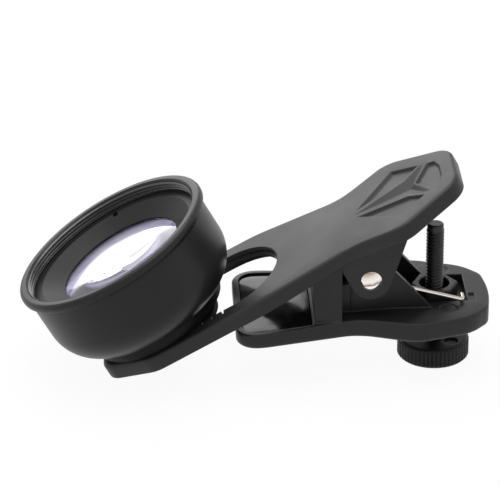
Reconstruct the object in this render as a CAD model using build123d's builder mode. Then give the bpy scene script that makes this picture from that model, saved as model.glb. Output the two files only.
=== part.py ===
from build123d import *
from math import acos, asin, atan2, cos, degrees, hypot, pi, sin, sqrt
import os

# Clip-on lens for a phone: a macro lens that slides along the slotted arm of a sprung clamp.
# Millimetres. The origin is the foot of the thumbscrew knob, on the screw axis.
# +X runs from the lens towards the handle, +Y goes away from the viewer, +Z is up.

# Clearances
RUNNING = 0.05          # a shaft in its hole, all round
SLIDING = 0.1           # flat faces that pass each other
EASY = 0.2              # moulded pieces beside each other
CLOSED_GAP = 0.35       # stop block to arm, with the jaws closed

# Hinge
PIVOT_X = -13.15
PIVOT_Z = 21.4
PIN_RADIUS = 1.1
HEAD_RADIUS = 2.0
HEAD_HEIGHT = 0.9
CAP_GRIP = 0.5          # length of pin inside the far cap

# Upper lever, in its own plane: U along the arm from the lens axis, V up from its top face
PIVOT_U = 40.9
PIVOT_V = -9.0
LEVER_DEPTH = 3.3
LEVER_SKIN = 1.8
LEVER_WALL = 1.5
NOSE_RADIUS = 13.1
NOSE_CENTRE = -1.1
NOSE_TIP = -13.2
ROOT_U = 20.0
ROOT_HALF = 12.8
WAIST_U = 37.5
WAIST_HALF = 11.0
HANDLE_U = 51.0
HANDLE_HALF = 13.8
TAIL_U = 65.2
TAIL_CORNER_U = 64.3
TAIL_HALF = 5.2
LEVER_EDGE = 0.7
BEVEL_DROP = 1.1        # the soft bevels fall this far at the waist's edge
BEVEL_WIDTH = 4.6
BEVEL_FRONT_U = 21.0
BEVEL_REAR_U = 47.5
HOLLOW_FRONT_U = 38.0

# Ears that carry the pin
EAR_RADIUS = 3.6
EAR_THICK = 1.6
UPPER_EAR_OUT = 10.6
UPPER_EAR_REAR_U = 52.0
LOWER_EAR_REAR_X = -0.8

# Slot for the lens
SLOT_HALF = 10.4
SLOT_TRAVEL = 15.6
SLOT_LEDGE = 0.5
SLOT_STEP = 1.1         # depth of the wide part of the slot
REBATE_HALF = 11.4
REBATE_DEPTH = 1.3
NOTCH_PITCH = 2.1
NOTCH_COUNT = 8
NOTCH_START_U = 5.0
NOTCH_WIDTH = 0.5
NOTCH_DEPTH = 0.7

# Soft pads
ARM_PAD_THICK = 1.0
ARM_PAD_SUNK = 0.6
ARM_PAD_FRONT_U = 27.9
ARM_PAD_LENGTH = 3.2
ARM_PAD_HALF = 9.0
JAW_PAD_THICK = 1.0
JAW_PAD_SUNK = 0.35     # the pad's face lies this far below the tray's rim

# Grip pattern on the handle: two kites and an end recess about a raised Y
GRIP_DEPTH = 0.55
GRIP_TAPER = 30
KITE = [(43.8, 1.6), (51.8, 10.2), (57.9, 7.2), (54.2, 3.9)]
END_RECESS = [(56.4, 0.0), (58.6, 4.6), (60.9, 5.8), (62.2, 3.0)]

# Lens, with heights up its axis from the arm's top face
RIM_RADIUS = 20.5
RIM_HEIGHT = 19.56
RIM_EDGE = 0.35
RIM_WALL = 2.25         # from the rim's outside to the filter thread
LIP_HEIGHT = 1.2
LIP_PROUD = 0.85        # the lip stands this far out of the barrel
BARREL_ROUND_START = 10.5
BARREL_TUCK = 5.45      # the round draws the barrel in this far at its foot
FILTER_DEPTH = 2.35
RING_SHOULDER = 0.45
RING_FLAT = 1.5
CONE_WIDTH = 3.9
WINDOW_DEPTH = 4.4
GLASS_HELD = 1.1        # width of the front glass that the ring covers
RING_LIP = 0.24
SPANNER_WIDTH = 1.0
SPANNER_LENGTH = 1.2
SPANNER_DEPTH = 1.0
GLASS_EDGE = 2.0
DOME_RISE = 2.3
MIDDLE_SEAT = 5.2
MIDDLE_EDGE = 3.2
MIDDLE_HOLLOW = 1.2
SPACER_WALL = 1.4
BORE_STEP = 2.0         # the shoulder under the middle glass is this wide
BORE_FLOOR = 3.7
REAR_GLASS_RADIUS = 7.1
REAR_GLASS_TOP = 1.6
REAR_GLASS_EDGE = 2.2
REAR_DOME_RISE = 0.6
REAR_APERTURE = 6.3
STUB_RADIUS = 8.4
STUB_BOTTOM = -2.5

# Slide collar
COLLAR_INSET = 0.1      # the flange is this much narrower than the handle
COLLAR_TOP = 2.4
WASHER_THICK = 0.4
KEEPER_RADIUS = 11.1

# Lower lever
JAW_FRONT_X = -39.0
JAW_INSET = 0.1         # the jaw is this much narrower than the handle
JAW_SIDE_X = -34.0
JAW_WAIST_X = -13.5
JAW_WAIST_HALF = 11.6
JAW_RIM_Z = 11.9
JAW_BOTTOM_Z = 9.0
JAW_ARCH = 0.6          # the underside lifts this far at the waist
JAW_ARCH_X = -17.0
DECK_Z = 13.9
DECK_FRONT_X = -8.0
DECK_WIDEST_X = -3.5
DECK_INSET = 1.0
DECK_TAIL_X = 10.9
DECK_CORNER_X = 9.4
DECK_CORNER_HALF = 5.6
JAW_WALL = 1.6
JAW_SKIN = 1.7
JAW_EDGE = 0.9
JAW_TOP_EDGE = 0.35
JAW_HOLLOW_X = -22.0
TRAY_RIM = 1.3
TRAY_REAR_X = -24.4
STOP_FRONT_X = -22.9
STOP_LEAN = 0.9
STOP_REAR_X = -17.1
STOP_HALF = 10.6
STOP_WALL = 1.4

# Screw
SCREW_RADIUS = 1.75
SCREW_TIP_Z = 28.2
SCREW_FOOT_Z = 1.2
NECK_LENGTH = 1.3
NECK_RADIUS = 1.6
BOSS_ACROSS = 8.2
BOSS_TOP_Z = 15.5
BOSS_BOTTOM_Z = 9.3
BOSS_CORNER = 0.8
BOSS_BORE = 3.0
BOSS_LIP_BORE = 2.3
NUT_ACROSS = 6.6
NUT_HEIGHT = 2.8
NUT_BOTTOM_Z = 10.3
KNOB_RADIUS = 7.0
KNOB_HEIGHT = 4.0
KNOB_RIBS = 52
KNOB_RIB_DEPTH = 0.32
KNOB_EDGE = 0.45
DIMPLE_RADIUS = 1.45
DIMPLE_X = 3.2
DIMPLE_Y = -2.8
DIMPLE_DEPTH = 0.3

# Window and mould marks in the deck
WINDOW_X = 5.2
WINDOW_LENGTH = 2.0
WINDOW_HALF = 5.8
POCKET_X = 8.2
POCKET_Y = -1.6
POCKET_SIZE = 1.5
POCKET_DEPTH = 0.5
MARK_RADIUS = 1.9
MARK_X = 2.8
MARK_Y = 8.3
MARK_DEPTH = 0.15

# Spring
WIRE_RADIUS = 0.42
WIRE_BEND_RADIUS = 0.46
COIL_RADIUS = 1.85
COIL_HALF = 5.4
COIL_TURNS = 10
LOWER_LEG_X = 5.0
LOWER_LEG_BEND = 2.0
UPPER_LEG_U = 53.0

CURVE_STEPS = 14        # points that redraw a curve drawn inwards

# The clip rests on the knob's foot and on the nose of the arm, which sets the arm's tilt.
reach = hypot(PIVOT_U - NOSE_TIP, -LEVER_DEPTH - PIVOT_V)
tilt = asin(PIVOT_Z / reach) + atan2(-LEVER_DEPTH - PIVOT_V, PIVOT_U - NOSE_TIP)
along = Vector(cos(tilt), 0, sin(tilt))
normal = Vector(-sin(tilt), 0, cos(tilt))
pivot = Vector(PIVOT_X, 0, PIVOT_Z)
arm_origin = pivot - along * PIVOT_U - normal * PIVOT_V

arm_plane = Plane(origin=arm_origin, x_dir=along, z_dir=normal)
arm_side = Plane(origin=arm_origin, x_dir=along, z_dir=(0, -1, 0))
lens_axis = Axis(arm_origin, normal)
pin_section = Plane(origin=pivot, x_dir=(0, 1, 0), z_dir=(1, 0, 0))
pin_axis = Axis(pivot, (0, 1, 0))

# The lower lever's top falls gently from its deck to the front of the jaw.
fall = atan2(DECK_Z - JAW_RIM_Z, DECK_FRONT_X - JAW_FRONT_X)
slope_foot = Vector(0, 0, DECK_Z - DECK_FRONT_X * sin(fall) / cos(fall))
jaw_top = Plane(origin=slope_foot, x_dir=(cos(fall), 0, sin(fall)), z_dir=(-sin(fall), 0, cos(fall)))

# Widths of the jaw, the deck and the collar follow the handle.
jaw_half = HANDLE_HALF - JAW_INSET
deck_half = HANDLE_HALF - DECK_INSET
collar_radius = HANDLE_HALF - COLLAR_INSET

# Radii of the lens follow its rim.
barrel_radius = RIM_RADIUS - LIP_PROUD
foot_radius = barrel_radius - BARREL_TUCK
filter_radius = RIM_RADIUS - RIM_WALL
ring_radius = filter_radius - RING_SHOULDER
cone_radius = ring_radius - RING_FLAT
window_radius = cone_radius - CONE_WIDTH
glass_radius = window_radius + GLASS_HELD
bore_aperture = glass_radius - BORE_STEP

upper_ear_in = UPPER_EAR_OUT - EAR_THICK
lower_ear_out = upper_ear_in - EASY
pin_head_y = UPPER_EAR_OUT + SLIDING


def arm_point(u, v, y=0.0):
    """The point at U and V on the arm, y across it."""
    return arm_origin + along * u + normal * v + Vector(0, y, 0)


def arm_height(x, v):
    """Height above the X axis of the plane that lies at V on the arm."""
    foot = arm_point(0, v)
    return foot.Z + (x - foot.X) * sin(tilt) / cos(tilt)


def flank_touch(centre, corner, side):
    """Where a line from the corner touches the round of an ear, on one side of it."""
    span = corner - centre
    turn = atan2(span.Y, span.X) + side * acos(EAR_RADIUS / span.length)
    return centre + Vector(EAR_RADIUS * cos(turn), EAR_RADIUS * sin(turn))


def save(piece, name):
    """Labels one finished piece and writes it."""
    piece.label = name
    export_step(piece, f"parts/{name}.step")


def drawn_in(outline, inset):
    """The outline moved inwards, with each curve that this gives drawn again as a spline."""
    with BuildSketch() as inner:
        add(outline)
        offset(amount=-inset)
    with BuildSketch() as plan:
        with BuildLine():
            for edge in inner.edges():
                if edge.geom_type in (GeomType.LINE, GeomType.CIRCLE):
                    add(edge)
                else:
                    points = [edge @ (step / CURVE_STEPS) for step in range(CURVE_STEPS + 1)]
                    Spline(*points, tangents=[edge % 0, edge % 1])
        make_face()
    return plan.sketch


def arm_plan(inset=0.0):
    """Plan of the upper lever: round nose, straight rails, waist and wide handle."""
    nose_half = sqrt(NOSE_RADIUS**2 - (NOSE_TIP - NOSE_CENTRE) ** 2)
    shoulder = NOSE_RADIUS * sqrt(0.5)
    with BuildSketch() as plan:
        with BuildLine():
            Line((NOSE_TIP, -nose_half), (NOSE_TIP, nose_half))
            nose = ThreePointArc(
                (NOSE_TIP, nose_half), (NOSE_CENTRE - shoulder, shoulder), (NOSE_CENTRE, NOSE_RADIUS)
            )
            side = Spline(
                (NOSE_CENTRE, NOSE_RADIUS), (ROOT_U, ROOT_HALF), (WAIST_U, WAIST_HALF),
                (HANDLE_U, HANDLE_HALF), (TAIL_CORNER_U, TAIL_HALF),
                tangents=[(1, 0), (0.35, -1)],
            )
            mirror([nose, side], about=Plane.XZ)
            ThreePointArc((TAIL_CORNER_U, TAIL_HALF), (TAIL_U, 0), (TAIL_CORNER_U, -TAIL_HALF))
        make_face()
    return drawn_in(plan.sketch, inset) if inset else plan.sketch


def jaw_plan(inset=0.0):
    """Plan of the lower lever: square front with round corners, waist and round tail."""
    corner = JAW_SIDE_X - JAW_FRONT_X
    with BuildSketch() as plan:
        with BuildLine():
            Line((JAW_FRONT_X, corner - jaw_half), (JAW_FRONT_X, jaw_half - corner))
            front = RadiusArc((JAW_FRONT_X, jaw_half - corner), (JAW_SIDE_X, jaw_half), corner)
            side = Spline(
                (JAW_SIDE_X, jaw_half), (JAW_WAIST_X, JAW_WAIST_HALF),
                (DECK_WIDEST_X, deck_half), (DECK_CORNER_X, DECK_CORNER_HALF),
                tangents=[(1, 0), (0.5, -1)],
            )
            mirror([front, side], about=Plane.XZ)
            ThreePointArc(
                (DECK_CORNER_X, DECK_CORNER_HALF), (DECK_TAIL_X, 0), (DECK_CORNER_X, -DECK_CORNER_HALF)
            )
        make_face()
    return drawn_in(plan.sketch, inset) if inset else plan.sketch


def slot_plan(half):
    """A slot of the given half width about the lens's travel."""
    with BuildSketch() as plan:
        with Locations((SLOT_TRAVEL / 2, 0)):
            SlotCenterToCenter(SLOT_TRAVEL, 2 * half)
    return plan.sketch


def tray_plan(gap):
    """Plan of the jaw's tray, drawn in by a gap for the pad that lies in it."""
    length = TRAY_REAR_X - JAW_FRONT_X
    with BuildSketch() as plan:
        add(jaw_plan(TRAY_RIM + gap))
        with Locations((TRAY_REAR_X - gap - length / 2, 0)):
            Rectangle(length, 4 * jaw_half, mode=Mode.INTERSECT)
    return plan.sketch


def bevel_wedge(end_u, end_half):
    """What a flat cut takes off one edge, from the waist to where the cut runs out."""
    run_out = arm_point(end_u, 0, end_half)
    inner = arm_point(WAIST_U, 0, WAIST_HALF - BEVEL_WIDTH)
    outer = arm_point(WAIST_U, -BEVEL_DROP, WAIST_HALF)
    across = (inner - run_out).cross(outer - run_out)
    upward = across if across.dot(normal) > 0 else across * -1
    with BuildPart() as wedge:
        with BuildSketch(arm_plane):
            with Locations(((WAIST_U + end_u) / 2, HANDLE_HALF)):
                Rectangle(abs(end_u - WAIST_U), 2 * HANDLE_HALF)
        extrude(amount=LEVER_DEPTH, both=True)
        split(bisect_by=Plane(origin=inner, z_dir=upward), keep=Keep.TOP)
    return wedge.part


def turned(profile, axis=lens_axis):
    """A solid of revolution from corners given as radius and height up the lens axis."""
    with BuildPart() as solid:
        with BuildSketch(arm_side):
            with BuildLine():
                Polyline(*profile, close=True)
            make_face()
        revolve(axis=axis)
    return solid.part


os.makedirs("parts", exist_ok=True)

# Upper lever

with BuildPart() as lever_hollow:
    with BuildSketch(arm_plane.offset(-LEVER_SKIN)):
        add(arm_plan(LEVER_WALL))
        with Locations((HOLLOW_FRONT_U + TAIL_U / 2, 0)):
            Rectangle(TAIL_U, 4 * HANDLE_HALF, mode=Mode.INTERSECT)
    extrude(amount=-LEVER_DEPTH)

with BuildPart() as upper_lever:
    with BuildSketch(arm_plane):
        add(arm_plan())
    extrude(amount=-LEVER_DEPTH)
    fillet(upper_lever.faces().sort_by(lens_axis)[-1].edges(), LEVER_EDGE)
    add(lever_hollow.part, mode=Mode.SUBTRACT)
    for end_u, end_half in ((BEVEL_FRONT_U, ROOT_HALF), (BEVEL_REAR_U, HANDLE_HALF)):
        wedge = bevel_wedge(end_u, end_half)
        add([wedge, wedge.mirror(Plane.XZ)], mode=Mode.SUBTRACT)

    # Slot: a wide step on top, a ledge, and a rebate below for the keeper ring.
    with BuildSketch(arm_plane):
        add(slot_plan(SLOT_HALF))
    extrude(amount=-SLOT_STEP, mode=Mode.SUBTRACT)
    with BuildSketch(arm_plane):
        add(slot_plan(SLOT_HALF - SLOT_LEDGE))
    extrude(amount=-LEVER_DEPTH, mode=Mode.SUBTRACT)
    with BuildSketch(arm_plane.offset(-LEVER_DEPTH)):
        add(slot_plan(REBATE_HALF))
    extrude(amount=REBATE_DEPTH, mode=Mode.SUBTRACT)

    # Detent notches along both rails.
    with BuildSketch(arm_plane):
        for side in (1, -1):
            for index in range(NOTCH_COUNT):
                with Locations((NOTCH_START_U + index * NOTCH_PITCH, side * SLOT_HALF)):
                    Rectangle(NOTCH_WIDTH, 2 * NOTCH_DEPTH)
    extrude(amount=-SLOT_STEP, mode=Mode.SUBTRACT)

    # Recess for the strip of pad behind the slot.
    with BuildSketch(arm_plane.offset(-LEVER_DEPTH)):
        with Locations((ARM_PAD_FRONT_U + ARM_PAD_LENGTH / 2, 0)):
            Rectangle(ARM_PAD_LENGTH + 2 * SLIDING, 2 * (ARM_PAD_HALF + SLIDING))
    extrude(amount=ARM_PAD_SUNK, mode=Mode.SUBTRACT)

    # Grip pattern.
    with BuildSketch(arm_plane.offset(-GRIP_DEPTH)) as grip:
        with BuildLine():
            Polyline(*KITE, close=True)
        make_face()
        mirror(about=Plane.XZ)
        with BuildLine():
            Polyline(*END_RECESS, (END_RECESS[-1][0], 0), close=True)
        make_face()
        mirror(about=Plane.XZ)
        offset(amount=-GRIP_DEPTH * sin(GRIP_TAPER * pi / 180) * 2)
    extrude(amount=GRIP_DEPTH, taper=-2 * GRIP_TAPER, mode=Mode.SUBTRACT)

    # Ears: both flanks run tangent into the round about the pin.
    for outer_face in (UPPER_EAR_OUT, -upper_ear_in):
        with BuildSketch(arm_side.offset(outer_face)):
            with BuildLine():
                centre = Vector(PIVOT_U, PIVOT_V)
                front_top = Vector(PIVOT_U - EAR_RADIUS, -LEVER_SKIN)
                rear_top = Vector(UPPER_EAR_REAR_U, -LEVER_SKIN)
                front_low = centre - Vector(EAR_RADIUS, 0)
                rear_low = flank_touch(centre, rear_top, -1)
                Polyline(front_low, front_top, rear_top, rear_low)
                ThreePointArc(front_low, centre - Vector(0, EAR_RADIUS), rear_low)
            make_face()
            with Locations(centre):
                Circle(PIN_RADIUS + RUNNING, mode=Mode.SUBTRACT)
        extrude(amount=-EAR_THICK)

save(upper_lever.part, "upper_lever")

with BuildPart() as arm_pad:
    with BuildSketch(arm_plane.offset(ARM_PAD_SUNK - LEVER_DEPTH)):
        with Locations((ARM_PAD_FRONT_U + ARM_PAD_LENGTH / 2, 0)):
            RectangleRounded(ARM_PAD_LENGTH, 2 * ARM_PAD_HALF, ARM_PAD_THICK)
    extrude(amount=-ARM_PAD_THICK)
save(arm_pad.part, "arm_pad")

# Slide collar, keeper and washer

collar_bore = STUB_RADIUS + RUNNING
hub_upper = SLOT_HALF - EASY
hub_lower = SLOT_HALF - SLOT_LEDGE - EASY
hub_bottom = SLIDING - LEVER_DEPTH
flange_bottom = SLIDING + WASHER_THICK
slide_collar = turned([
    (collar_bore, COLLAR_TOP), (collar_radius, COLLAR_TOP), (collar_radius, flange_bottom),
    (hub_upper, flange_bottom), (hub_upper, SLIDING - SLOT_STEP), (hub_lower, SLIDING - SLOT_STEP),
    (hub_lower, hub_bottom), (collar_bore, hub_bottom),
])
save(slide_collar, "slide_collar")

slide_washer = turned([
    (hub_upper, SLIDING), (collar_radius - EASY, SLIDING),
    (collar_radius - EASY, flange_bottom), (hub_upper, flange_bottom),
])
save(slide_washer, "slide_washer")

keeper_top = REBATE_DEPTH - LEVER_DEPTH - SLIDING
keeper_ring = turned([
    (hub_lower, keeper_top), (KEEPER_RADIUS, keeper_top),
    (KEEPER_RADIUS, hub_bottom), (hub_lower, hub_bottom),
])
save(keeper_ring, "keeper_ring")

# Lens: the stack is loaded from the front onto a shoulder, the rear element from behind.

ring_top = RIM_HEIGHT - FILTER_DEPTH
window_z = RIM_HEIGHT - WINDOW_DEPTH
lip_z = window_z - RING_LIP
dome_sphere = (glass_radius**2 + DOME_RISE**2) / (2 * DOME_RISE)
dome_at_window = sqrt(dome_sphere**2 - window_radius**2) - sqrt(dome_sphere**2 - glass_radius**2)
glass_top = lip_z - dome_at_window - RUNNING
glass_bottom = glass_top - GLASS_EDGE
ring_bottom = glass_bottom + SLIDING
middle_top = MIDDLE_SEAT + MIDDLE_EDGE
rear_glass_bottom = REAR_GLASS_TOP - REAR_GLASS_EDGE
rear_ring_top = rear_glass_bottom - REAR_DOME_RISE / 2

with BuildPart() as lens_barrel:
    with BuildSketch(arm_side):
        with BuildLine():
            rear_bore = REAR_GLASS_RADIUS + RUNNING
            glass_bore = glass_radius + RUNNING
            lip_bottom = RIM_HEIGHT - LIP_HEIGHT
            step = RIM_RADIUS - barrel_radius
            foot = (foot_radius, COLLAR_TOP)
            Polyline((rear_bore, STUB_BOTTOM), (STUB_RADIUS, STUB_BOTTOM), (STUB_RADIUS, COLLAR_TOP), foot)
            flank = (barrel_radius, BARREL_ROUND_START)
            TangentArc(flank, foot, tangent=(0, -1))
            Polyline(
                flank, (barrel_radius, lip_bottom - step), (RIM_RADIUS, lip_bottom),
                (RIM_RADIUS, RIM_HEIGHT - RIM_EDGE), (RIM_RADIUS - RIM_EDGE, RIM_HEIGHT),
                (filter_radius + RIM_EDGE, RIM_HEIGHT), (filter_radius, RIM_HEIGHT - RIM_EDGE),
                (filter_radius, ring_top), (ring_radius, ring_top), (ring_radius, ring_bottom),
                (glass_bore, ring_bottom), (glass_bore, MIDDLE_SEAT), (bore_aperture, MIDDLE_SEAT),
                (bore_aperture, BORE_FLOOR), (REAR_APERTURE, BORE_FLOOR),
                (REAR_APERTURE, REAR_GLASS_TOP), (rear_bore, REAR_GLASS_TOP), (rear_bore, STUB_BOTTOM),
            )
        make_face()
    revolve(axis=lens_axis)
save(lens_barrel.part, "lens_barrel")

with BuildPart() as front_ring:
    with BuildSketch(arm_side):
        with BuildLine():
            outer = ring_radius - RUNNING
            cup = glass_radius + RUNNING
            Polyline(
                (outer, ring_top), (cone_radius, ring_top), (window_radius, window_z),
                (window_radius, lip_z), (cup, lip_z), (cup, ring_bottom), (outer, ring_bottom),
                close=True,
            )
        make_face()
    revolve(axis=lens_axis)
    with BuildSketch(arm_plane.offset(ring_top)):
        with PolarLocations(cone_radius, 2, start_angle=90):
            Rectangle(SPANNER_LENGTH, SPANNER_WIDTH)
    extrude(amount=-SPANNER_DEPTH, mode=Mode.SUBTRACT)
save(front_ring.part, "front_retaining_ring")

with BuildPart() as front_glass:
    with BuildSketch(arm_side):
        with BuildLine():
            Polyline((0, glass_bottom), (glass_radius, glass_bottom), (glass_radius, glass_top))
            crown = (0, glass_top + DOME_RISE)
            RadiusArc(crown, (glass_radius, glass_top), dome_sphere)
            Line(crown, (0, glass_bottom))
        make_face()
    revolve(axis=lens_axis)
save(front_glass.part, "front_glass")

spacer_bore = glass_radius - SPACER_WALL
spacer_ring = turned([
    (spacer_bore, middle_top), (glass_radius, middle_top),
    (glass_radius, glass_bottom), (spacer_bore, glass_bottom),
])
save(spacer_ring, "spacer_ring")

with BuildPart() as middle_glass:
    with BuildSketch(arm_side):
        with BuildLine():
            shoulder_in = spacer_bore
            hollow = (0, middle_top - MIDDLE_HOLLOW)
            Polyline(
                hollow, (0, MIDDLE_SEAT), (glass_radius, MIDDLE_SEAT),
                (glass_radius, middle_top), (shoulder_in, middle_top),
            )
            sphere = (shoulder_in**2 + MIDDLE_HOLLOW**2) / (2 * MIDDLE_HOLLOW)
            RadiusArc(hollow, (shoulder_in, middle_top), -sphere)
        make_face()
    revolve(axis=lens_axis)
save(middle_glass.part, "middle_glass")

with BuildPart() as rear_glass:
    with BuildSketch(arm_side):
        with BuildLine():
            rear_crown = (0, rear_glass_bottom - REAR_DOME_RISE)
            Polyline(
                rear_crown, (0, REAR_GLASS_TOP), (REAR_GLASS_RADIUS, REAR_GLASS_TOP),
                (REAR_GLASS_RADIUS, rear_glass_bottom),
            )
            sphere = (REAR_GLASS_RADIUS**2 + REAR_DOME_RISE**2) / (2 * REAR_DOME_RISE)
            RadiusArc(rear_crown, (REAR_GLASS_RADIUS, rear_glass_bottom), -sphere)
        make_face()
    revolve(axis=lens_axis)
save(rear_glass.part, "rear_glass")

rear_ring = turned([
    (REAR_APERTURE, rear_ring_top), (REAR_GLASS_RADIUS, rear_ring_top),
    (REAR_GLASS_RADIUS, STUB_BOTTOM), (REAR_APERTURE, STUB_BOTTOM),
])
save(rear_ring, "rear_retaining_ring")

# Lower lever

# The stop block's top lies along the arm, and its rear leans with the upper ear's front.
stop_v = -LEVER_DEPTH - CLOSED_GAP
stop_rear_top = arm_point(PIVOT_U - EAR_RADIUS - CLOSED_GAP, stop_v)
stop_knee = stop_rear_top - normal * ((STOP_REAR_X - stop_rear_top.X) / sin(tilt))

with BuildPart() as jaw_hollow:
    # Open from below, with a deeper well inside the stop block.
    with BuildSketch(Plane.XY.offset(DECK_Z - JAW_SKIN)):
        add(jaw_plan(JAW_WALL))
        with Locations(((JAW_HOLLOW_X + DECK_TAIL_X) / 2, 0)):
            Rectangle(DECK_TAIL_X - JAW_HOLLOW_X, 4 * jaw_half, mode=Mode.INTERSECT)
    extrude(amount=-DECK_Z)
    well_front = STOP_FRONT_X + STOP_WALL
    well_rear = stop_rear_top.X - STOP_WALL / 2
    with BuildSketch(Plane.XZ):
        with BuildLine():
            well_v = stop_v - STOP_WALL
            Polyline(
                (well_front, JAW_BOTTOM_Z), (well_front, arm_height(well_front, well_v)),
                (well_rear, arm_height(well_rear, well_v)), (well_rear, JAW_BOTTOM_Z), close=True,
            )
        make_face()
    extrude(amount=STOP_HALF - STOP_WALL, both=True)

with BuildPart() as lower_lever:
    with BuildSketch(Plane.XY):
        add(jaw_plan())
    extrude(amount=2 * DECK_Z)
    front_x = JAW_FRONT_X - JAW_EDGE
    tail_x = DECK_TAIL_X + JAW_EDGE
    with BuildSketch(Plane.XZ):
        with BuildLine():
            underside = Spline(
                (front_x, JAW_BOTTOM_Z), (JAW_ARCH_X, JAW_BOTTOM_Z + JAW_ARCH),
                (DECK_WIDEST_X, JAW_BOTTOM_Z), (tail_x, JAW_BOTTOM_Z + JAW_ARCH / 2),
            )
            front_rim_z = DECK_Z - (DECK_FRONT_X - front_x) * sin(fall) / cos(fall)
            Polyline(
                (tail_x, JAW_BOTTOM_Z + JAW_ARCH / 2), (tail_x, DECK_Z), (DECK_FRONT_X, DECK_Z),
                (front_x, front_rim_z), (front_x, JAW_BOTTOM_Z),
            )
        make_face()
    extrude(amount=2 * jaw_half, both=True, mode=Mode.INTERSECT)
    fillet(lower_lever.faces().sort_by(Axis.Z)[0].edges(), JAW_EDGE)
    with BuildSketch(jaw_top):
        add(tray_plan(0))
    extrude(amount=-(JAW_PAD_SUNK + JAW_PAD_THICK), mode=Mode.SUBTRACT)

    # Stop block under the arm.
    with BuildSketch(Plane.XZ):
        with BuildLine():
            lean_x = STOP_FRONT_X - STOP_LEAN
            block_foot = DECK_Z - JAW_SKIN
            Polyline(
                (STOP_FRONT_X, block_foot), (lean_x, arm_height(lean_x, stop_v)),
                (stop_rear_top.X, stop_rear_top.Z), (STOP_REAR_X, stop_knee.Z),
                (STOP_REAR_X, block_foot), close=True,
            )
        make_face()
    extrude(amount=STOP_HALF, both=True)

    # Boss about the nut, before the hollow is cut round it.
    add(jaw_hollow.part, mode=Mode.SUBTRACT)
    with BuildSketch(Plane.XY.offset(BOSS_BOTTOM_Z)) as boss:
        RegularPolygon(BOSS_ACROSS / 2, 6, major_radius=False)
        fillet(boss.vertices(), BOSS_CORNER)
    extrude(amount=BOSS_TOP_Z - BOSS_BOTTOM_Z)
    with BuildSketch(Plane.XY.offset(BOSS_TOP_Z)):
        Circle(BOSS_BORE)
    extrude(amount=NUT_BOTTOM_Z + NUT_HEIGHT - BOSS_TOP_Z, mode=Mode.SUBTRACT)
    with BuildSketch(Plane.XY.offset(NUT_BOTTOM_Z)):
        RegularPolygon(NUT_ACROSS / 2, 6, major_radius=False)
    extrude(amount=NUT_HEIGHT, mode=Mode.SUBTRACT)
    with BuildSketch(Plane.XY.offset(BOSS_BOTTOM_Z)):
        Circle(BOSS_LIP_BORE)
    extrude(amount=NUT_BOTTOM_Z - BOSS_BOTTOM_Z, mode=Mode.SUBTRACT)

    # Ears for the pin.
    for outer_face in (lower_ear_out, EAR_THICK - lower_ear_out):
        with BuildSketch(Plane.XZ.offset(outer_face)):
            with BuildLine():
                centre = Vector(PIVOT_X, PIVOT_Z)
                foot_z = DECK_Z - JAW_SKIN / 2
                rear_foot = Vector(LOWER_EAR_REAR_X, DECK_Z)
                rear_high = flank_touch(centre, rear_foot, 1)
                front_high = centre - Vector(EAR_RADIUS, 0)
                Polyline(
                    front_high, (PIVOT_X - EAR_RADIUS, foot_z), (LOWER_EAR_REAR_X, foot_z),
                    rear_foot, rear_high,
                )
                ThreePointArc(front_high, centre + Vector(0, EAR_RADIUS), rear_high)
            make_face()
            with Locations(centre):
                Circle(PIN_RADIUS + RUNNING, mode=Mode.SUBTRACT)
        extrude(amount=-EAR_THICK)

    # Window for the spring's leg, and the mould's marks.
    with BuildSketch(Plane.XY.offset(DECK_Z)):
        with Locations((WINDOW_X, 0)):
            Rectangle(WINDOW_LENGTH, 2 * WINDOW_HALF)
    extrude(amount=-2 * JAW_SKIN, mode=Mode.SUBTRACT)
    with BuildSketch(Plane.XY.offset(DECK_Z)):
        with Locations((POCKET_X, POCKET_Y)):
            Rectangle(POCKET_SIZE, POCKET_SIZE)
    extrude(amount=-POCKET_DEPTH, mode=Mode.SUBTRACT)
    with BuildSketch(Plane.XY.offset(DECK_Z)):
        with Locations((MARK_X, MARK_Y), (MARK_X, -MARK_Y)):
            Circle(MARK_RADIUS)
    extrude(amount=-MARK_DEPTH, mode=Mode.SUBTRACT)
save(lower_lever.part, "lower_lever")

with BuildPart() as jaw_pad:
    with BuildSketch(jaw_top.offset(-(JAW_PAD_SUNK + JAW_PAD_THICK))):
        add(tray_plan(SLIDING))
    extrude(amount=JAW_PAD_THICK)
save(jaw_pad.part, "jaw_pad")

# Hinge pin with its near head, and the far cap pressed on it

with BuildPart() as hinge_pin:
    with BuildSketch(pin_section):
        with BuildLine():
            apex = (-pin_head_y - HEAD_HEIGHT, 0)
            brim = (-pin_head_y, HEAD_RADIUS)
            head_sphere = (HEAD_RADIUS**2 + HEAD_HEIGHT**2) / (2 * HEAD_HEIGHT)
            RadiusArc(apex, brim, head_sphere)
            far_end = pin_head_y + CAP_GRIP
            Polyline(brim, (-pin_head_y, PIN_RADIUS), (far_end, PIN_RADIUS), (far_end, 0), apex)
        make_face()
    revolve(axis=pin_axis)
save(hinge_pin.part, "hinge_pin")

with BuildPart() as pin_cap:
    with BuildSketch(pin_section):
        with BuildLine():
            cap_apex = (pin_head_y + HEAD_HEIGHT, 0)
            cap_brim = (pin_head_y, HEAD_RADIUS)
            RadiusArc(cap_apex, cap_brim, -head_sphere)
            Polyline(
                cap_brim, (pin_head_y, PIN_RADIUS), (pin_head_y + CAP_GRIP, PIN_RADIUS),
                (pin_head_y + CAP_GRIP, 0), cap_apex,
            )
        make_face()
    revolve(axis=pin_axis)
save(pin_cap.part, "pin_cap")

# Torsion spring: one leg on the deck at the near side, one under the handle at the far side

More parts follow.
